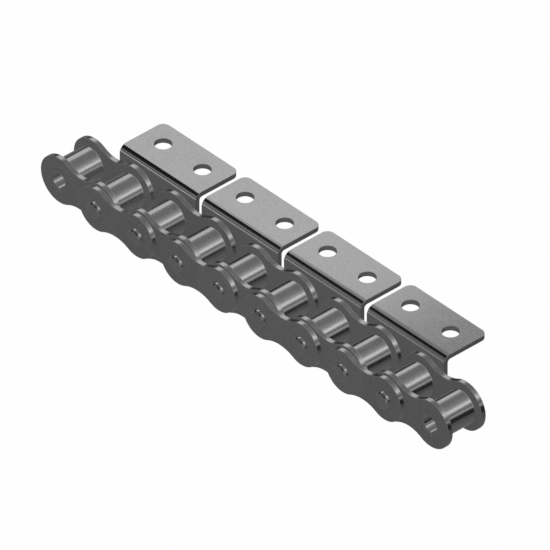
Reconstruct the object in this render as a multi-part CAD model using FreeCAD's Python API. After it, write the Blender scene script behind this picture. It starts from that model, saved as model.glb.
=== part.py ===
"""A strand of roller chain with a bent, drilled carrier plate on one side of every outer link.

The strand lies along +X with its pins along Y and its carrier plates up, towards +Z.
The origin is the middle of the first bush: on the pitch line, halfway across the chain.
The front is the plain side, towards -Y, and the back is the side with the carrier plates.
All sizes are in millimetres.
"""
import FreeCAD, Part
import math
import os

Vector = FreeCAD.Vector

# The strand
pitch = 19.05
inner_links = 5

# Link plates, blanked from flat strip
plate_thickness = 1.8
inner_end_gap = 2.0
inner_waist_depth = 2.45
outer_end_gap = 3.5
outer_waist_depth = 2.3

# Across the chain
inner_width = 12.1
link_side_clearance = 0.1

# Pin, bush and roller, one inside the other
pin_diameter = 5.7
pin_running_clearance = 0.05
pin_stub = 1.3
pin_chamfer = 0.3
bush_wall = 1.2
roller_diameter = 11.9
roller_running_clearance = 0.08
roller_side_clearance = 0.15
roller_edge_chamfer = 0.5

# Carrier plates
carrier_gap = 2.8
carrier_height = 11.6
carrier_reach = 26.7
carrier_corner_radius = 2.6
bend_radius = 1.1
carrier_hole_diameter = 5.8
carrier_hole_reach = 18.7
carrier_hole_spacing = 18.3

# Sizes that follow from the ones above
outer_links = inner_links - 1
inner_plate_height = pitch - inner_end_gap
outer_plate_height = pitch - outer_end_gap
carrier_length = 2 * pitch - carrier_gap
carrier_lobe_height = carrier_length - pitch
inner_face = inner_width / 2
inner_link_half_width = inner_face + plate_thickness
outer_face = inner_link_half_width + link_side_clearance
outer_link_half_width = outer_face + plate_thickness
pin_half_length = outer_link_half_width + pin_stub
bush_bore_radius = pin_diameter / 2 + pin_running_clearance
bush_outer_radius = bush_bore_radius + bush_wall
roller_bore_radius = bush_outer_radius + roller_running_clearance
roller_half_length = inner_face - roller_side_clearance
across = Vector(0, 1, 0)
along = Vector(1, 0, 0)
up = Vector(0, 0, 1)


class Outline:
    """The points and arcs that a link plate's outline is drawn from, centred between its two pins."""

    def __init__(self, height, waist_depth):
        self.lobe = height / 2
        self.waist = self.lobe - waist_depth
        half_pitch = pitch / 2
        rise = half_pitch**2 + self.waist**2 - self.lobe**2
        self.waist_radius = rise / (2 * waist_depth)
        waist_centre = self.waist + self.waist_radius
        reach = self.lobe / math.hypot(half_pitch, waist_centre)
        self.tangent_x = half_pitch * (1 - reach)
        self.tangent_z = waist_centre * reach

    def end(self, side):
        """The round end about one pin, from its lower to its upper tangent point."""
        tip = side * (pitch / 2 + self.lobe)
        x = side * self.tangent_x
        return arc((x, -self.tangent_z), (tip, 0), (x, self.tangent_z))

    def scallop(self, side):
        """The hollow between the two round ends, along the plate's upper or lower edge."""
        z = side * self.tangent_z
        return arc((-self.tangent_x, z), (0, side * self.waist), (self.tangent_x, z))

    def quarter_end(self, side):
        """The lower half of a round end, from its lower tangent point to the level of the pin."""
        middle = math.sqrt(0.5) * self.lobe
        start = (side * self.tangent_x, -self.tangent_z)
        through = (side * (pitch / 2 + middle), -middle)
        return arc(start, through, (side * (pitch / 2 + self.lobe), 0))


def arc(start, through, end):
    """An arc through three (x, z) points of the plane y = 0."""
    points = [Vector(x, 0, z) for x, z in (start, through, end)]
    return Part.Arc(*points).toShape()


def line(start, end):
    """A straight edge between two (x, z) points of the plane y = 0."""
    return Part.LineSegment(*[Vector(x, 0, z) for x, z in (start, end)]).toShape()


def prism(edges, y, thickness):
    """The closed outline made solid, from y to y + thickness across the chain."""
    wire = Part.Wire(Part.__sortEdges__(edges))
    wire.translate(across * y)
    return Part.Face(wire).extrude(across * thickness)


def bored(plate, radius, y, thickness):
    """The plate with a round hole at each of its two pins."""
    for side in (-1, 1):
        hole = Part.makeCylinder(radius, thickness, Vector(side * pitch / 2, y, 0), across)
        plate = plate.cut(hole)
    return plate


def flat_plate(height, waist_depth, hole_radius, y):
    """A figure-eight link plate whose front face lies at y."""
    outline = Outline(height, waist_depth)
    edges = [outline.end(1), outline.scallop(1), outline.end(-1), outline.scallop(-1)]
    return bored(prism(edges, y, plate_thickness), hole_radius, y, plate_thickness)


def carrier_leg(y):
    """The upright part of a carrier plate: round ends and a scallop below, straight sides above."""
    outline = Outline(carrier_lobe_height, outer_waist_depth)
    half = carrier_length / 2
    top = carrier_height - plate_thickness - bend_radius
    edges = [
        outline.scallop(-1),
        outline.quarter_end(1),
        line((half, 0), (half, top)),
        line((half, top), (-half, top)),
        line((-half, top), (-half, 0)),
        outline.quarter_end(-1),
    ]
    return bored(prism(edges, y, plate_thickness), pin_diameter / 2, y, plate_thickness)


def carrier_platform(y):
    """The bend and the level platform, drawn as a section of the bent strip and run along X."""
    outer_bend = bend_radius + plate_thickness
    centre_y, centre_z = y + outer_bend, carrier_height - outer_bend
    slant = math.sqrt(0.5)

    def point(across_y, height_z):
        return Vector(-carrier_length / 2, across_y, height_z)

    def bend(radius):
        start = point(centre_y - radius, centre_z)
        middle = point(centre_y - radius * slant, centre_z + radius * slant)
        return Part.Arc(start, middle, point(centre_y, centre_z + radius)).toShape()

    underside = carrier_height - plate_thickness
    corners = [
        point(centre_y, carrier_height),
        point(carrier_reach, carrier_height),
        point(carrier_reach, underside),
        point(centre_y, underside),
    ]
    edges = [Part.LineSegment(a, b).toShape() for a, b in zip(corners, corners[1:])]
    foot = Part.LineSegment(point(y, centre_z), point(y + plate_thickness, centre_z)).toShape()
    edges += [bend(outer_bend), bend(bend_radius), foot]
    section = Part.Face(Part.Wire(Part.__sortEdges__(edges)))
    strip = section.extrude(along * carrier_length)
    far_corners = [
        edge
        for edge in strip.Edges
        if edge.Length < 2 * plate_thickness
        and all(abs(v.Y - carrier_reach) < 1e-6 for v in edge.Vertexes)
        and abs(edge.Vertexes[0].X - edge.Vertexes[-1].X) < 1e-6
    ]
    return strip.makeFillet(carrier_corner_radius, far_corners)


def carrier_plate():
    """An outer plate whose upper half is carried up and bent outwards into a drilled platform."""
    plate = carrier_leg(outer_face).fuse(carrier_platform(outer_face)).removeSplitter()
    for side in (-1, 1):
        foot = Vector(side * carrier_hole_spacing / 2, carrier_hole_reach, 0)
        plate = plate.cut(Part.makeCylinder(carrier_hole_diameter / 2, 2 * carrier_height, foot, up))
    return plate


def turned(profile):
    """A solid turned about the Y axis from (radius, y) points."""
    points = [Vector(radius, y, 0) for radius, y in profile]
    wire = Part.makePolygon(points + points[:1])
    return Part.Face(wire).revolve(Vector(0, 0, 0), across, 360)


def pin():
    """A plain pin, with a chamfer round each end."""
    radius, neck = pin_diameter / 2, pin_diameter / 2 - pin_chamfer
    shoulder = pin_half_length - pin_chamfer
    half = [(radius, shoulder), (neck, pin_half_length), (0, pin_half_length)]
    mirrored = [(r, -y) for r, y in reversed(half)]
    return turned(mirrored + half)


def bush():
    """A bush as long as its inner link is wide, so that its ends lie flush with the plates."""
    end = inner_link_half_width
    outside = [(bush_outer_radius, -end), (bush_outer_radius, end)]
    return turned(outside + [(bush_bore_radius, end), (bush_bore_radius, -end)])


def roller():
    """A roller that turns freely on its bush, with a chamfer round each outer edge."""
    flat = roller_diameter / 2 - roller_edge_chamfer
    shoulder = roller_half_length - roller_edge_chamfer
    half = [(roller_diameter / 2, shoulder), (flat, roller_half_length)]
    half.append((roller_bore_radius, roller_half_length))
    mirrored = [(r, -y) for r, y in reversed(half)]
    return turned(half + mirrored)


def placed(shape, x):
    """A copy of the shape, moved along the strand."""
    copy = shape.copy()
    copy.translate(along * x)
    return copy


def strand():
    """Every piece of the strand by name, with pin, bush and roller places counted from 1."""
    pieces = {}
    front_inner = flat_plate(
        inner_plate_height, inner_waist_depth, bush_outer_radius, -inner_link_half_width
    )
    back_inner = flat_plate(inner_plate_height, inner_waist_depth, bush_outer_radius, inner_face)
    front_outer = flat_plate(
        outer_plate_height, outer_waist_depth, pin_diameter / 2, -outer_link_half_width
    )
    carrier = carrier_plate()
    for link in range(inner_links):
        middle = (2 * link + 0.5) * pitch
        pieces[f"inner_plate_front_{link + 1}"] = placed(front_inner, middle)
        pieces[f"inner_plate_back_{link + 1}"] = placed(back_inner, middle)
    for link in range(outer_links):
        middle = (2 * link + 1.5) * pitch
        pieces[f"outer_plate_{link + 1}"] = placed(front_outer, middle)
        pieces[f"carrier_plate_{link + 1}"] = placed(carrier, middle)
    for place in range(2 * inner_links):
        pieces[f"bush_{place + 1:02d}"] = placed(bush(), place * pitch)
        pieces[f"roller_{place + 1:02d}"] = placed(roller(), place * pitch)
    for place in range(1, 2 * outer_links + 1):
        pieces[f"pin_{place + 1:02d}"] = placed(pin(), place * pitch)
    return pieces


os.makedirs("parts", exist_ok=True)
for name, shape in strand().items():
    shape.exportStep(f"parts/{name}.step")
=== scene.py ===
"""A strand of roller chain with a bent carrier plate on every outer link.

The strand lies along +X, its pins lie along Y and the carrier plates' flat tops face +Z.
The link plates are blanked from strip, and the rollers, bushes and pins are turned from bar.
Every edge is eased. All sizes are in metres.
"""
import bmesh
import bpy
import math
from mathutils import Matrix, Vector


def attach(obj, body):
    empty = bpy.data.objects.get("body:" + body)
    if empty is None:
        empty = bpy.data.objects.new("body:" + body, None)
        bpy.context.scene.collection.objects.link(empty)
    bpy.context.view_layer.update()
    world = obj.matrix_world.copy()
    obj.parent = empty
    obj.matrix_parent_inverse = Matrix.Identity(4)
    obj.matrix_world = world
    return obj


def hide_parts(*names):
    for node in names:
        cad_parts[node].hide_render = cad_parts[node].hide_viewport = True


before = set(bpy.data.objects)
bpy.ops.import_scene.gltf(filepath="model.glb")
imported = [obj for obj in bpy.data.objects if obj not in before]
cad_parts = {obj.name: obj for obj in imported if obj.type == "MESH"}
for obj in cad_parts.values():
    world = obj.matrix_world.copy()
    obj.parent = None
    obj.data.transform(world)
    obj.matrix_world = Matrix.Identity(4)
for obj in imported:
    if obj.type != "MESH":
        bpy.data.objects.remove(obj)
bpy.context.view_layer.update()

mm = 0.001

# The strand
pitch = 19.05 * mm
inner_links = 5
outer_links = inner_links - 1

# Link plates: the radius of the round ends, the depth of the waist between them, and how far
# the middle of the thickness lies from the middle of the chain
plate_thickness = 1.8 * mm
inner_lobe = 8.525 * mm
inner_waist_depth = 2.45 * mm
inner_plate_middle = 6.95 * mm
outer_lobe = 7.775 * mm
outer_waist_depth = 2.3 * mm
outer_plate_middle = 8.85 * mm
plate_edge_ease = 0.16 * mm
plate_hole_ease = 0.05 * mm

# Carrier plates: the leg ends and the platform starts where the bend runs out
leg_top = 8.7 * mm
platform_start = 10.85 * mm

# Turned pieces
pin_radius = 2.85 * mm
pin_half_length = 11.05 * mm
pin_end_chamfer = 0.5 * mm
bush_bore_radius = 2.9 * mm
bush_outer_radius = 4.1 * mm
bush_half_length = 7.85 * mm
bush_mouth_ease = 0.15 * mm
bush_end_ease = 0.05 * mm
roller_radius = 5.95 * mm
roller_bore_radius = 4.18 * mm
roller_half_length = 5.9 * mm
roller_edge_ease = 0.3 * mm
roller_mouth_ease = 0.15 * mm

# How finely round edges are drawn
arc_step = math.radians(5)
circle_points = 72
round_steps = 3
mouth_steps = 2
chamfer_steps = 1

# Points closer than these are one point
blank_seam = 0.002 * mm
carrier_seam = 0.001 * mm

# Faces folded less than the first are one face. Edges folded more than the second are rounded
# over on a carrier plate, and edges folded more than the third are shaded crisp on a blank.
level_fold = math.radians(0.5)
corner_fold = math.radians(35)
crisp_fold = math.radians(40)

# Shares of a face's normal that tell where it lies: a wall's face is on a round when it leans
# further than the first towards the flats, a carrier's face is one of its flats when it points
# out of the strip by the second, and the strip's end when it points along the chain by the third
round_lean = 0.02
flat_share = 0.7
end_share = 0.5


# ---------------------------------------------------------------- helpers

def in_scene(name, data):
    """A new object in the scene that holds the given data."""
    made = bpy.data.objects.new(name, data)
    bpy.context.scene.collection.objects.link(made)
    return made


def cleared(owner):
    """The emptied node tree of a material or a world."""
    owner.use_nodes = True
    owner.node_tree.nodes.clear()
    return owner.node_tree


def feed(tree, socket, value):
    """Joins a socket to another one, or writes a plain value on it."""
    if isinstance(value, bpy.types.Node):
        value = value.outputs[0]
    if isinstance(value, bpy.types.NodeSocket):
        tree.links.new(value, socket)
    else:
        socket.default_value = value


def node(tree, kind, inputs=None, **settings):
    """A new node with its settings made and its inputs fed, by name or by number."""
    made = tree.nodes.new(kind)
    for name, value in settings.items():
        setattr(made, name, value)
    for key, value in (inputs or {}).items():
        feed(tree, made.inputs[key], value)
    return made


def calc(tree, operation, *values):
    """The result of a Math node that does the operation on the values."""
    return node(tree, "ShaderNodeMath", dict(enumerate(values)), operation=operation).outputs[0]


def vector_of(tree, x=0.0, y=0.0, z=0.0):
    """A vector put together from three values."""
    return node(tree, "ShaderNodeCombineXYZ", {0: x, 1: y, 2: z}).outputs[0]


def coordinate(tree, vector, axis):
    """One of a vector's three values."""
    return node(tree, "ShaderNodeSeparateXYZ", {0: vector}).outputs[axis]


def between(tree, factor, low, high, start=0.0, end=1.0):
    """A value that runs from low to high as the factor runs from start to end."""
    inputs = {"Value": factor, "From Min": start, "From Max": end, "To Min": low, "To Max": high}
    return node(tree, "ShaderNodeMapRange", inputs).outputs[0]


# ---------------------------------------------------------------- blanked and turned pieces

def socketed_tree(name, inputs, outputs):
    """An empty Geometry Nodes tree with named inputs and outputs."""
    tree = bpy.data.node_groups.new(name, "GeometryNodeTree")
    for side, sockets in (("INPUT", inputs), ("OUTPUT", outputs)):
        for label, kind in sockets:
            tree.interface.new_socket(label, in_out=side, socket_type="NodeSocket" + kind)
    return tree, node(tree, "NodeGroupInput"), node(tree, "NodeGroupOutput")


def marked(tree, geometry, label, value):
    """The geometry with a value stored on its faces."""
    inputs = {"Geometry": geometry, "Name": label, "Value": value}
    return node(tree, "GeometryNodeStoreNamedAttribute", inputs, data_type="FLOAT", domain="FACE")


def joined(tree, *parts):
    """All the parts as one geometry."""
    whole = node(tree, "GeometryNodeJoinGeometry")
    for part in parts:
        tree.links.new(part, whole.inputs[0])
    return whole


def set_out(tree, piece, count, start, step, rotation=(0.0, 0.0, 0.0)):
    """Copies of a piece in a straight row."""
    inputs = {"Count": count, "Start Location": start, "Offset": step}
    places = node(tree, "GeometryNodeMeshLine", inputs)
    inputs = {"Points": places, "Instance": piece, "Rotation": rotation}
    copies = node(tree, "GeometryNodeInstanceOnPoints", inputs)
    return node(tree, "GeometryNodeRealizeInstances", {0: copies})


def eased_wall_tree():
    """The wall that stands on a boundary line, rounded over at both of the piece's faces.

    It also gives the line on which each face begins.
    """
    inputs = [
        ("Boundary", "Geometry"), ("Half Thickness", "Float"), ("Ease", "Float"), ("Steps", "Int"),
    ]
    outputs = [("Wall", "Geometry"), ("Face Line", "Geometry")]
    tree, given, result = socketed_tree("eased wall", inputs, outputs)
    boundary, half, ease, steps = (given.outputs[label] for label, kind in inputs)

    # The wall's section: two quarter rounds with the straight land between them
    count = calc(tree, "MULTIPLY_ADD", steps, 2.0, 2.0)
    place = node(tree, "GeometryNodeInputIndex")
    from_middle = calc(tree, "SUBTRACT", place, calc(tree, "ADD", steps, 0.5))
    side = calc(tree, "SIGN", from_middle)
    stage_of_round = calc(tree, "SUBTRACT", calc(tree, "ABSOLUTE", from_middle), 0.5)
    turn = calc(tree, "DIVIDE", calc(tree, "MULTIPLY", stage_of_round, math.pi / 2), steps)
    inward = calc(tree, "MULTIPLY", ease, calc(tree, "SUBTRACT", calc(tree, "COSINE", turn), 1.0))
    rise = calc(tree, "MULTIPLY", ease, calc(tree, "SUBTRACT", calc(tree, "SINE", turn), 1.0))
    height = calc(tree, "MULTIPLY", side, calc(tree, "ADD", half, rise))
    row = node(tree, "GeometryNodeMeshLine", {"Count": count})
    inputs = {"Geometry": row, "Position": vector_of(tree, inward, height)}
    section = node(tree, "GeometryNodeMeshToCurve",
                   {"Mesh": node(tree, "GeometryNodeSetPosition", inputs)})
    wall = node(tree, "GeometryNodeCurveToMesh", {"Curve": boundary, "Profile Curve": section})

    # Faces on the rounds are marked "eased", and all the wall's faces "cut"
    lean = calc(tree, "ABSOLUTE", coordinate(tree, node(tree, "GeometryNodeInputNormal"), "Z"))
    wall = marked(tree, wall, "eased", calc(tree, "GREATER_THAN", lean, round_lean))
    feed(tree, result.inputs["Wall"], marked(tree, wall, "cut", 1.0))

    # The face's line lies inside the boundary by the width of the round
    outward, back_by = node(tree, "GeometryNodeInputNormal"), calc(tree, "MULTIPLY", ease, -1.0)
    inputs = {0: outward, "Scale": back_by}
    offset = node(tree, "ShaderNodeVectorMath", inputs, operation="SCALE")
    line = node(tree, "GeometryNodeSetPosition", {"Geometry": boundary, "Offset": offset})
    feed(tree, result.inputs["Face Line"], line)
    return tree


def eased_blank_tree(wall_tree):
    """A flat piece of an even thickness with a row of round holes and rounded edges.

    The modifier's own mesh holds the outline's points in order, counter-clockwise, in the XY
    plane. The finished piece is stood up, with its thickness along Y.
    """
    inputs = [
        ("Outline", "Geometry"), ("Half Thickness", "Float"),
        ("Edge Ease", "Float"), ("Edge Steps", "Int"),
        ("Hole Radius", "Float"), ("Hole Ease", "Float"), ("Hole Steps", "Int"),
        ("Holes", "Int"), ("Hole Spacing", "Float"),
        ("First Place", "Vector"), ("Next Place", "Vector"), ("Copies", "Int"),
        ("Steel", "Material"),
    ]
    tree, given, result = socketed_tree("eased blank", inputs, [("Pieces", "Geometry")])
    give = given.outputs

    # The outline as a closed curve through the given points
    points = node(tree, "GeometryNodeAttributeDomainSize", {0: give["Outline"]}, component="MESH")
    ring = node(tree, "GeometryNodeCurvePrimitiveCircle",
                {"Resolution": points.outputs["Point Count"]})
    corner = node(tree, "GeometryNodeSampleIndex",
                  {"Geometry": give["Outline"], "Value": node(tree, "GeometryNodeInputPosition"),
                   "Index": node(tree, "GeometryNodeInputIndex")},
                  data_type="FLOAT_VECTOR", domain="POINT")
    outline = node(tree, "GeometryNodeSetPosition", {"Geometry": ring, "Position": corner})

    # The holes, run the other way round so that their walls face inwards
    spacing = give["Hole Spacing"]
    spread = calc(tree, "MULTIPLY", spacing, calc(tree, "SUBTRACT", give["Holes"], 1.0))
    start = vector_of(tree, calc(tree, "MULTIPLY", spread, -0.5))
    circle = node(tree, "GeometryNodeCurvePrimitiveCircle",
                  {"Resolution": circle_points, "Radius": give["Hole Radius"]})
    drilled = set_out(tree, circle, give["Holes"], start, vector_of(tree, spacing))
    holes = node(tree, "GeometryNodeReverseCurve", {"Curve": drilled})

    def wall(boundary, ease, steps):
        made = node(tree, "GeometryNodeGroup", node_tree=wall_tree)
        given_values = (boundary, give["Half Thickness"], ease, steps)
        for label, value in zip(("Boundary", "Half Thickness", "Ease", "Steps"), given_values):
            feed(tree, made.inputs[label], value)
        return made.outputs

    rim = wall(outline, give["Edge Ease"], give["Edge Steps"])
    bores = wall(holes, give["Hole Ease"], give["Hole Steps"])

    # The two flat faces
    lines = joined(tree, rim["Face Line"], bores["Face Line"])
    flat = node(tree, "GeometryNodeFillCurve", {"Curve": lines}, mode="NGONS")
    raised = vector_of(tree, z=give["Half Thickness"])
    top = node(tree, "GeometryNodeTransform", {"Geometry": flat, "Translation": raised})
    lowered = vector_of(tree, z=calc(tree, "MULTIPLY", give["Half Thickness"], -1.0))
    turned_over = node(tree, "GeometryNodeFlipFaces", {"Mesh": flat})
    under = node(tree, "GeometryNodeTransform", {"Geometry": turned_over, "Translation": lowered})

    # One closed piece, smooth but for its sharp folds
    whole = joined(tree, rim["Wall"], bores["Wall"], top.outputs[0], under.outputs[0])
    closed = node(tree, "GeometryNodeMergeByDistance", {"Geometry": whole, "Distance": blank_seam})
    smooth = node(tree, "GeometryNodeSetShadeSmooth", {"Geometry": closed})
    fold = node(tree, "GeometryNodeInputMeshEdgeAngle").outputs["Unsigned Angle"]
    sharp = calc(tree, "GREATER_THAN", fold, crisp_fold)
    crisp = node(tree, "GeometryNodeSetShadeSmooth",
                 {"Geometry": smooth, "Selection": sharp, "Shade Smooth": False}, domain="EDGE")

    upright = (math.pi / 2, 0.0, 0.0)
    pieces = set_out(tree, crisp, give["Copies"], give["First Place"], give["Next Place"], upright)
    inputs = {"Geometry": pieces, "Material": give["Steel"]}
    feed(tree, result.inputs["Pieces"], node(tree, "GeometryNodeSetMaterial", inputs))
    return tree


def circle_outline(radius):
    """Points round a circle, counter-clockwise."""
    turns = [2 * math.pi * i / circle_points for i in range(circle_points)]
    return [(radius * math.cos(t), radius * math.sin(t), 0.0) for t in turns]


def arc_points(centre, radius, start, end):
    """Points along an arc, without its last point."""
    x, y = centre
    steps = max(2, round(abs(end - start) / arc_step))
    turns = [start + (end - start) * i / steps for i in range(steps)]
    return [(x + radius * math.cos(t), y + radius * math.sin(t), 0.0) for t in turns]


def link_outline(lobe, waist_depth):
    """A link plate's outline, counter-clockwise: two round ends joined by two scallops."""
    half_pitch = pitch / 2
    waist = lobe - waist_depth
    scallop_radius = (half_pitch ** 2 + waist ** 2 - lobe ** 2) / (2 * waist_depth)
    scallop_centre = waist + scallop_radius
    lean = math.atan2(scallop_centre, half_pitch)
    points = arc_points((half_pitch, 0), lobe, lean - math.pi, math.pi - lean)
    points += arc_points((0, scallop_centre), scallop_radius, -lean, lean - math.pi)
    points += arc_points((-half_pitch, 0), lobe, lean, 2 * math.pi - lean)
    points += arc_points((0, -scallop_centre), scallop_radius, math.pi - lean, lean)
    return points


def show(name, mesh, body, replaced):
    """Puts a finished mesh in the scene on its body, in place of its solids.

    The pieces reflect the studio and not each other, so the narrow gaps between them stay light.
    """
    piece = in_scene(name, mesh)
    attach(piece, body)
    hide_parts(*replaced)
    piece.visible_glossy = False


def made_mesh(name, mesh, modifiers):
    """The mesh that comes out of a stack of modifiers, as a plain mesh."""
    holder = in_scene(name, mesh)
    for kind, prepare in modifiers:
        prepare(holder.modifiers.new(kind.lower(), kind))
    bpy.context.view_layer.update()
    seen = holder.evaluated_get(bpy.context.evaluated_depsgraph_get())
    made = bpy.data.meshes.new_from_object(seen)
    bpy.data.objects.remove(holder)
    made.name = name
    return made


def even_normals(modifier):
    """Keeps the flats flat in shading and gives the turn to the eased edges."""
    modifier.mode = "FACE_AREA"
    modifier.keep_sharp = True


def eased_mesh(tree, name, outline, sizes):
    """One mesh with all the copies of a blanked or turned piece that one body has."""
    mesh = bpy.data.meshes.new(name)
    mesh.from_pydata(outline, [], [])
    sockets = {s.name: s.identifier for s in tree.interface.items_tree if s.in_out == "INPUT"}

    def set_sizes(modifier):
        modifier.node_group = tree
        for label, value in sizes.items():
            modifier[sockets[label]] = value

    return made_mesh(name, mesh, [("NODES", set_sizes), ("WEIGHTED_NORMAL", even_normals)])


# ---------------------------------------------------------------- carrier plates

def is_cut(face):
    """Whether a carrier plate's face is a cut edge or lies on the outside of its bend."""
    middle, out = face.calc_center_median(), face.normal
    if middle.z < leg_top:
        return abs(out.y) < flat_share
    if middle.y > platform_start:
        return abs(out.z) < flat_share
    return abs(out.x) > end_share or out.z > out.y


def carrier_mesh(name, solid, steel):
    """A carrier plate's solid with its edges rounded over and its faces marked as on a blank."""
    form = bmesh.new()
    form.from_mesh(solid.data)
    bmesh.ops.remove_doubles(form, verts=form.verts, dist=carrier_seam)
    bmesh.ops.dissolve_limit(form, angle_limit=level_fold, verts=form.verts, edges=form.edges)
    shared = [e for e in form.edges if len(e.link_faces) == 2]
    corners = [e for e in shared if e.calc_face_angle() > corner_fold]
    rounded = bmesh.ops.bevel(form, geom=corners, offset=plate_edge_ease, offset_type="OFFSET",
                              segments=round_steps, profile=0.5, affect="EDGES",
                              clamp_overlap=True)
    eased = form.faces.layers.float.new("eased")
    cut = form.faces.layers.float.new("cut")
    form.normal_update()
    on_round = set(rounded["faces"])
    for face in form.faces:
        face.smooth = True
        face[eased] = float(face in on_round)
        face[cut] = float(face in on_round or is_cut(face))
    mesh = bpy.data.meshes.new(name)
    form.to_mesh(mesh)
    form.free()
    mesh.materials.append(steel)
    return made_mesh(name, mesh, [("WEIGHTED_NORMAL", even_normals)])


# ---------------------------------------------------------------- steels

# Noise runs from 0 to 1, but seldom beyond these two
noise_low, noise_high = 0.3, 0.7

# Sizes of the marks, how far those of rolling and punching are drawn out, and the share that
# dents have beside the lathe's rings
cloud_size = 6 * mm
spot_size = 0.5 * mm
rolled_size, rolled_stretch = 0.3 * mm, (8.0, 1.0, 1.0)
punched_size, punched_stretch = 0.22 * mm, (1.0, 12.0, 1.0)
ring_size = 0.16 * mm
dent_size, dent_share = 0.8 * mm, 0.3

# How far they change the tone, as shares of it, and the roughness, and how much stronger the
# steel reflects blue
cloud_tone, spot_tone, mark_tone, eased_tone, link_tone = 0.02, 0.11, 0.05, 0.06, 0.04
cloud_roughness, mark_roughness = 0.01, 0.03
coolness = 1.01

# Relief: the height of the marks, the share of it that shows, and the spots' height beside theirs
relief_height = 0.006 * mm
relief_strength = 0.12
spot_relief = 0.6

# The oily seam round a pressed-in piece, and the band that sprocket teeth leave on a roller
seam_start, seam_end, seam_tone = 0.05 * mm, 0.35 * mm, 0.12
band_start, band_end, band_tone = 3.2 * mm, 4.4 * mm, 0.03

# The leg of a carrier plate is duller than the platform, which parts slide over
dull_leg_top = 8.0 * mm
leg_roughness, platform_roughness = 0.42, 0.12


def speckle(tree, place, size, stretch=(1.0, 1.0, 1.0)):
    """Noise whose spots are about the given size, drawn out by the given stretch."""
    scale = tuple(1.0 / (size * s) for s in stretch)
    mapped = node(tree, "ShaderNodeMapping", {"Vector": place, "Scale": scale})
    return node(tree, "ShaderNodeTexNoise", {"Vector": mapped, "Scale": 1.0}).outputs[0]


def varied(tree, noise, swing, middle=1.0):
    """A value that the noise takes as far as the swing to either side of its middle."""
    return between(tree, noise, middle - swing, middle + swing, noise_low, noise_high)


def grey(tree, level):
    """A colour of one level, very slightly cool."""
    blue = calc(tree, "MULTIPLY", level, coolness)
    return node(tree, "ShaderNodeCombineColor", {0: level, 1: level, 2: blue}).outputs[0]


def face_mark(tree, label):
    """The value that was stored on the faces under a label."""
    return node(tree, "ShaderNodeAttribute", attribute_name=label).outputs["Fac"]


def from_nearest_pin(tree, place):
    """How far a point is from the line of the nearest pin."""
    along = calc(tree, "WRAP", coordinate(tree, place, "X"), pitch / 2, -pitch / 2)
    height_squared = calc(tree, "POWER", coordinate(tree, place, "Z"), 2.0)
    return calc(tree, "SQRT", calc(tree, "MULTIPLY_ADD", along, along, height_squared))


def rolled(tree, place):
    """Grain along the strip."""
    return speckle(tree, place, rolled_size, rolled_stretch)


def rolled_and_punched(tree, place):
    """Grain along the strip on a plate's faces, and lines across its punched edges."""
    punched = speckle(tree, place, punched_size, punched_stretch)
    return between(tree, face_mark(tree, "cut"), rolled(tree, place), punched)


def turned(tree, place):
    """Fine lathe rings, broken up a little by the dents of tumbling.

    The rings follow each other along Y on a round side, and outwards from the pin's line on an end.
    """
    across = vector_of(tree, from_nearest_pin(tree, place), coordinate(tree, place, "Y"))
    rings = calc(tree, "MULTIPLY", speckle(tree, across, ring_size), 1.0 - dent_share)
    return calc(tree, "MULTIPLY_ADD", speckle(tree, place, dent_size), dent_share, rings)


def link_shade(tree, place):
    """A factor on the tone that differs a little along the strand, as batches of steel do.

    It changes every two pitches, at the middle of each outer link. An inner plate has one shade,
    and the halves of an outer plate have those of the inner links beside them.
    """
    link = calc(tree, "MULTIPLY_ADD", coordinate(tree, place, "X"), 0.5 / pitch, 0.25)
    heat = node(tree, "ShaderNodeTexWhiteNoise", {"W": calc(tree, "FLOOR", link)},
                noise_dimensions="1D").outputs["Value"]
    return between(tree, heat, 1.0 - link_tone, 1.0 + link_tone)


def seam_shade(radius):
    """A factor that darkens the oily seam round a pressed-in piece of the given radius."""
    return lambda tree, place: between(tree, from_nearest_pin(tree, place), 1.0 - seam_tone, 1.0,
                                       radius + seam_start, radius + seam_end)


def tooth_band(tree, place):
    """A factor for the faint bright band round the middle of a roller."""
    across = calc(tree, "ABSOLUTE", coordinate(tree, place, "Y"))
    return between(tree, across, 1.0 + band_tone, 1.0, band_start, band_end)


def carrier_dullness(tree, place):
    """The roughness of a carrier plate's flats."""
    height = coordinate(tree, place, "Z")
    return between(tree, height, leg_roughness, platform_roughness, dull_leg_top, leg_top)


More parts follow.
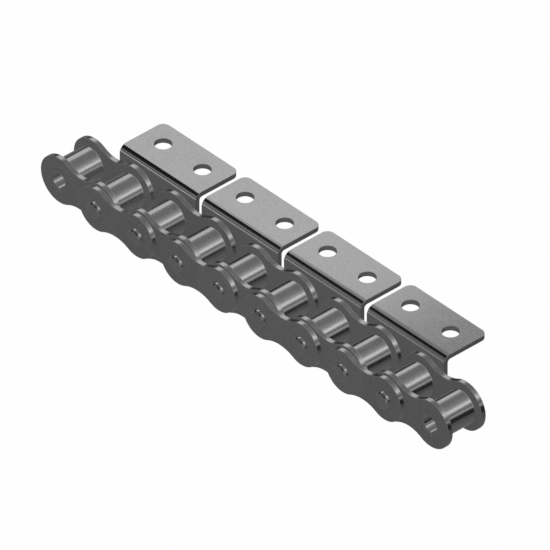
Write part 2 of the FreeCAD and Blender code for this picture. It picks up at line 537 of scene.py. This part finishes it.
def satin_steel(name, tone, roughness, flat_roughness, grain, shades=()):
    """Tumbled steel: speckled and clouded, duller on its flats, and brighter on its eased edges.

    The grain is a function of the node tree and the place that gives the marks of rolling,
    punching or turning. The shades are functions of the same two that give further factors on
    the tone. The roughness of the flats is a number, or a function of the same two.
    """
    steel = bpy.data.materials.new(name)
    tree = cleared(steel)
    place = node(tree, "ShaderNodeTexCoord").outputs["Object"]
    cloud = speckle(tree, place, cloud_size)
    spots = speckle(tree, place, spot_size)
    marks = grain(tree, place)

    level = varied(tree, cloud, cloud_tone * tone, tone)
    factors = [varied(tree, spots, spot_tone), varied(tree, marks, mark_tone),
               calc(tree, "MULTIPLY_ADD", face_mark(tree, "eased"), eased_tone, 1.0)]
    for factor in factors + [shade(tree, place) for shade in shades]:
        level = calc(tree, "MULTIPLY", level, factor)

    if callable(flat_roughness):
        flat_roughness = flat_roughness(tree, place)
    rough = between(tree, face_mark(tree, "cut"), flat_roughness, roughness)
    rough = calc(tree, "ADD", rough, varied(tree, marks, mark_roughness, 0.0))
    rough = calc(tree, "ADD", rough, varied(tree, cloud, cloud_roughness, 0.0))

    height = calc(tree, "MULTIPLY_ADD", spots, spot_relief, marks)
    relief = {"Height": height, "Strength": relief_strength, "Distance": relief_height}
    shader = node(tree, "ShaderNodeBsdfPrincipled",
                  {"Metallic": 1.0, "Base Color": grey(tree, level), "Roughness": rough,
                   "Normal": node(tree, "ShaderNodeBump", relief)})
    node(tree, "ShaderNodeOutputMaterial", {"Surface": shader})
    return steel


inner_plate_steel = satin_steel(
    "inner plate steel", tone=0.43, roughness=0.18, flat_roughness=0.38,
    grain=rolled_and_punched, shades=[link_shade, seam_shade(bush_outer_radius)])
outer_plate_steel = satin_steel(
    "outer plate steel", tone=0.43, roughness=0.18, flat_roughness=0.38,
    grain=rolled_and_punched, shades=[link_shade, seam_shade(pin_radius)])
carrier_steel = satin_steel(
    "carrier steel", tone=0.43, roughness=0.10, flat_roughness=carrier_dullness, grain=rolled)
roller_steel = satin_steel(
    "roller steel", tone=0.45, roughness=0.17, flat_roughness=0.30,
    grain=turned, shades=[tooth_band])
bush_steel = satin_steel(
    "bush steel", tone=0.43, roughness=0.20, flat_roughness=0.30, grain=turned)
pin_steel = satin_steel(
    "pin steel", tone=0.45, roughness=0.20, flat_roughness=0.30, grain=turned)

# ---------------------------------------------------------------- the strand

blank = eased_blank_tree(eased_wall_tree())

inner_plate_sizes = {
    "Half Thickness": plate_thickness / 2, "Edge Ease": plate_edge_ease, "Edge Steps": round_steps,
    "Hole Radius": bush_outer_radius, "Hole Ease": plate_hole_ease, "Hole Steps": mouth_steps,
    "Holes": 2, "Hole Spacing": pitch, "Copies": 2, "Steel": inner_plate_steel,
}
outer_plate_sizes = dict(inner_plate_sizes)
outer_plate_sizes.update({"Hole Radius": pin_radius, "Copies": 1, "Steel": outer_plate_steel})
bush_sizes = {
    "Half Thickness": bush_half_length, "Edge Ease": bush_end_ease, "Edge Steps": chamfer_steps,
    "Hole Radius": bush_bore_radius, "Hole Ease": bush_mouth_ease, "Hole Steps": mouth_steps,
    "Holes": 1, "Hole Spacing": 0.0, "Copies": 2, "Steel": bush_steel,
}
pin_sizes = {
    "Half Thickness": pin_half_length, "Edge Ease": pin_end_chamfer, "Edge Steps": chamfer_steps,
    "Hole Radius": 0.0, "Hole Ease": 0.0, "Hole Steps": chamfer_steps,
    "Holes": 0, "Hole Spacing": 0.0, "Copies": 2, "Steel": pin_steel,
}
roller_sizes = {
    "Half Thickness": roller_half_length, "Edge Ease": roller_edge_ease, "Edge Steps": round_steps,
    "Hole Radius": roller_bore_radius, "Hole Ease": roller_mouth_ease, "Hole Steps": mouth_steps,
    "Holes": 1, "Hole Spacing": 0.0, "Copies": 1, "Steel": roller_steel,
}

inner_outline = link_outline(inner_lobe, inner_waist_depth)
outer_outline = link_outline(outer_lobe, outer_waist_depth)


def add(name, body, replaced, outline, sizes, x, y=0.0, step=(0.0, 0.0, 0.0)):
    """Makes and shows a body's blanked or turned pieces of one kind, from the first one's place."""
    placed = dict(sizes, **{"First Place": (x, y, 0.0), "Next Place": step})
    show(name, eased_mesh(blank, name, outline, placed), body, replaced)


for link in range(1, inner_links + 1):
    body = f"inner_link_{link}"
    first = (2 * link - 2) * pitch
    add(f"{body}_plates", body,
        [f"inner_plate_front_{link}", f"inner_plate_back_{link}"],
        inner_outline, inner_plate_sizes, first + pitch / 2, -inner_plate_middle,
        step=(0.0, 2 * inner_plate_middle, 0.0))
    add(f"{body}_bushes", body,
        [f"bush_{2 * link - 1:02d}", f"bush_{2 * link:02d}"],
        circle_outline(bush_outer_radius), bush_sizes, first, step=(pitch, 0.0, 0.0))

for link in range(1, outer_links + 1):
    body = f"outer_link_{link}"
    first = (2 * link - 1) * pitch
    add(f"{body}_plate", body, [f"outer_plate_{link}"],
        outer_outline, outer_plate_sizes, first + pitch / 2, -outer_plate_middle)
    add(f"{body}_pins", body,
        [f"pin_{2 * link:02d}", f"pin_{2 * link + 1:02d}"],
        circle_outline(pin_radius), pin_sizes, first, step=(pitch, 0.0, 0.0))
    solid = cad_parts[f"carrier_plate_{link}"]
    carrier = carrier_mesh(f"{body}_carrier", solid, carrier_steel)
    show(f"{body}_carrier", carrier, body, [f"carrier_plate_{link}"])

for place in range(1, 2 * inner_links + 1):
    body = f"roller_{place:02d}"
    add(f"{body}_turned", body, [body],
        circle_outline(roller_radius), roller_sizes, (place - 1) * pitch)

# ---------------------------------------------------------------- studio

white = (1.0, 1.0, 1.0, 1.0)
pale = (0.9, 0.9, 0.9, 1.0)

# The light that falls on the object, where the background is 1
daylight = 0.8

# The floor's half side, its height, and how far it goes to white where it is seen
floor_half, floor_height = 4.0, -0.13
floor_whiteness = 0.97


def background_share(tree):
    """1 for camera, glossy and transmission rays, which see the white background, else 0."""
    path = node(tree, "ShaderNodeLightPath").outputs
    share = calc(tree, "MAXIMUM", path["Is Camera Ray"], path["Is Glossy Ray"])
    return calc(tree, "MAXIMUM", share, path["Is Transmission Ray"])


def white_world():
    """White behind everything, and even daylight on the object."""
    world = bpy.data.worlds.new("white studio")
    bpy.context.scene.world = world
    tree = cleared(world)
    strength = between(tree, background_share(tree), daylight, 1.0)
    back_light = node(tree, "ShaderNodeBackground", {"Color": white, "Strength": strength})
    node(tree, "ShaderNodeOutputWorld", {"Surface": back_light})


def rectangle(name, corner, along, up, material):
    """A flat stage piece from a corner and its two sides."""
    corner, along, up = Vector(corner), Vector(along), Vector(up)
    points = [corner, corner + along, corner + along + up, corner + up]
    mesh = bpy.data.meshes.new(name)
    mesh.from_pydata(points, [], [(0, 1, 2, 3)])
    mesh.materials.append(material)
    piece = in_scene(name, mesh)
    return piece


def pale_floor():
    """A floor that is white for the camera and in reflections, and still takes a shadow."""
    material = bpy.data.materials.new("pale floor")
    tree = cleared(material)
    matt = node(tree, "ShaderNodeBsdfDiffuse", {"Color": pale})
    glow = node(tree, "ShaderNodeEmission", {"Color": white, "Strength": 1.0})
    share = calc(tree, "MULTIPLY", background_share(tree), floor_whiteness)
    mixed = node(tree, "ShaderNodeMixShader", {0: share, 1: matt, 2: glow})
    node(tree, "ShaderNodeOutputMaterial", {"Surface": mixed})
    corner, side = (-floor_half, -floor_half, floor_height), 2 * floor_half
    rectangle("floor", corner, (side, 0, 0), (0, side, 0), material)


def card(name, corner, along, up, near_tone, far_tone):
    """A card that only shows in reflections, shaded evenly along its second side."""
    material = bpy.data.materials.new(name)
    tree = cleared(material)
    reach = Vector(up)
    stride = reach / reach.length_squared
    place = node(tree, "ShaderNodeTexCoord").outputs["Object"]
    share = node(tree, "ShaderNodeVectorMath", {0: place, 1: tuple(stride)},
                 operation="DOT_PRODUCT").outputs["Value"]
    start = Vector(corner).dot(stride)
    tone = between(tree, share, near_tone, far_tone, start, start + 1.0)
    glow = node(tree, "ShaderNodeEmission", {"Color": white, "Strength": tone})
    node(tree, "ShaderNodeOutputMaterial", {"Surface": glow})
    piece = rectangle(name, corner, along, up, material)
    for ray in ("camera", "diffuse", "transmission", "volume_scatter", "shadow"):
        setattr(piece, "visible_" + ray, False)


def softbox(name, centre, facing, width, height, level):
    """A rectangular lamp of an even brightness."""
    lamp = bpy.data.lights.new(name, "AREA")
    lamp.shape = "RECTANGLE"
    lamp.size, lamp.size_y = width, height
    lamp.energy = level * math.pi * width * height
    piece = in_scene(name, lamp)
    piece.location = centre
    piece.rotation_euler = Vector(facing).to_track_quat("-Z", "Y").to_euler()
    piece.visible_camera = False


white_world()
pale_floor()
softbox("right_softbox", centre=(0.355, 0.20, 0.2325), facing=(-1.0, 0.0, 0.0),
        width=0.60, height=0.115, level=0.25)

# The room of cards round the strand: its walls, floor and ceiling, and the sizes between them
left, right, front, back, low, high = -0.26, 0.36, -0.30, 0.55, -0.10, 0.50
wide, deep, tall = right - left, back - front, high - low

# Name, corner, first side, second side, and the tones at the start and the end of the second
# side. Where cards lie over each other, the one a millimetre further into the room shows.
cards = [
    ("left_low", (left, front, low), (0, deep, 0), (0, 0, 0.06 - low), 0.22, 0.22),
    ("left_mid", (left, -0.03, 0.06), (0, 0.16, 0), (0, 0, 0.10), 0.40, 0.60),
    ("left_dusk", (left + 0.001, 0.12, 0.052), (0, back - 0.12, -0.022), (0, 0, 0.095),
     0.07, 0.12),
    ("left_dark", (left + 0.002, 0.19, low), (0, 0.14, 0), (0, 0, 0.165), 0.06, 0.04),
    ("left_front", (left, front, 0.06), (0, 0.10, 0), (0, 0, 0.22), 0.04, 0.04),
    ("left_front_near", (left, front + 0.10, 0.06), (0, 0.17, 0), (0, 0, 0.22), 0.03, 0.03),
    ("left_front_high", (left, front, 0.28), (0, -0.03 - front, 0), (0, 0, high - 0.28),
     0.02, 0.02),
    ("left_bright", (left - 0.001, -0.20, 0.10), (0, back + 0.20, 0), (0, 0, 0.33), 0.83, 0.95),
    ("left_high", (left, 0.28, 0.417), (0, back - 0.28, 0), (0, 0, high - 0.417), 0.47, 0.42),
    ("left_high_near", (left, -0.06, 0.417), (0, 0.34, 0), (0, 0, high - 0.417), 0.80, 0.52),
    ("ceiling_left", (left, -0.06, high), (0, back + 0.06, 0), (0.12, 0, 0), 0.42, 0.28),
    ("ceiling_back", (left + 0.12, 0.0, high), (0, back, 0), (0.24, 0, 0), 0.28, 0.28),
    ("ceiling_right", (left + 0.36, 0.0, high), (0, back, 0), (wide - 0.36, 0, 0), 0.28, 0.43),
    ("ceiling_front_left", (left, front, high), (0.20, 0, 0), (0, -0.06 - front, 0), 0.01, 0.01),
    ("ceiling_front", (left + 0.20, front, high), (wide - 0.20, 0, 0), (0, -front, 0),
     0.45, 0.45),
    ("right_bright", (right + 0.001, -0.1, 0.16), (0, back + 0.1, 0), (0, 0, 0.14), 0.92, 0.92),
    ("right_high", (right, -0.1, 0.29), (0, back + 0.1, 0), (0, 0, high - 0.29), 0.76, 0.46),
    ("right_fall", (right, -0.1, 0.115), (0, back + 0.1, 0), (0, 0, 0.06), 0.28, 0.60),
    ("right_dip", (right, -0.1, 0.075), (0, back + 0.1, 0), (0, 0, 0.04), 0.24, 0.18),
    ("right_bump", (right, -0.1, 0.0), (0, back + 0.1, 0), (0, 0, 0.075), 0.45, 0.62),
    ("right_low", (right, -0.1, low), (0, back + 0.1, 0), (0, 0, -low), 0.15, 0.30),
    ("right_dark", (right - 0.002, 0.02, 0.0), (0, 0, 0.10), (0, 0.22, -0.147), 0.0, 0.08),
    ("back_wall", (left, back, low), (wide, 0, 0), (0, 0, tall), 0.50, 0.90),
    ("front_wall", (left, front, 0.03), (0.20, 0, 0), (0, 0, 0.25), 0.25, 0.22),
    ("front_wall_line", (left, front + 0.001, 0.15), (0.15, 0, 0), (0, 0, 0.03), 0.60, 0.60),
    ("front_wall_gap", (left, front + 0.001, 0.06), (0.15, 0, 0), (0, 0, 0.06), 0.14, 0.14),
    ("front_wall_strip", (left, front, -0.03), (0, 0, 0.06), (0.30, 0, 0), 1.0, 0.20),
    ("front_wall_low", (left, front, low), (0.30, 0, 0), (0, 0, -0.03 - low), 0.25, 0.25),
    ("front_wall_dusk", (left, front, 0.28), (0.25, 0, 0), (0, 0, 0.14), 0.18, 0.05),
    ("front_wall_high", (left, front, 0.42), (0.25, 0, 0), (0, 0, high - 0.42), 0.02, 0.02),
    ("front_wall_dark", (left + 0.20, front, 0.125), (wide - 0.20, 0, 0), (0, 0, 0.155),
     0.05, 0.06),
    ("front_wall_shade", (left + 0.16, front + 0.001, 0.20), (0.05, 0, 0), (0, 0, 0.08),
     0.05, 0.05),
    ("front_wall_upper", (left + 0.25, front, 0.28), (wide - 0.25, 0, 0), (0, 0, high - 0.28),
     0.45, 0.45),
    ("front_wall_right", (left + 0.20, front, 0.03), (wide - 0.20, 0, 0), (0, 0, 0.095),
     0.25, 0.30),
    ("front_wall_right_low", (left + 0.30, front, low), (wide - 0.30, 0, 0), (0, 0, 0.03 - low),
     0.20, 0.25),
    ("right_front", (right, front, low), (0, -0.1 - front, 0), (0, 0, tall), 0.30, 0.45),
    ("floor_front", (left, front, low), (wide, 0, 0), (0, 0.10 - front, 0), 0.20, 0.19),
    ("floor_back", (left, 0.10, low), (wide, 0, 0), (0, 0.12, 0), 0.14, 0.14),
    ("floor_far", (left, 0.22, low), (wide, 0, 0), (0, back - 0.22, 0), 0.45, 0.90),
]
for row in cards:
    card(*row)

# ---------------------------------------------------------------- camera

# A very long lens a long way off, which makes the view all but a parallel projection
aim = Vector((0.09171, 0.0001, 0.00959))
looking = Vector((-0.5912, 0.5402, -0.5989)).normalized()
distance = 7.604
camera_data = bpy.data.cameras.new("camera")
camera_data.sensor_width = 36.0
camera_data.lens = 1600.0
camera_data.clip_end = 30.0
camera = in_scene("camera", camera_data)
camera.location = aim - looking * distance
camera.rotation_euler = looking.to_track_quat("-Z", "Y").to_euler()
bpy.context.scene.camera = camera
bpy.context.scene.view_settings.view_transform = "Standard"
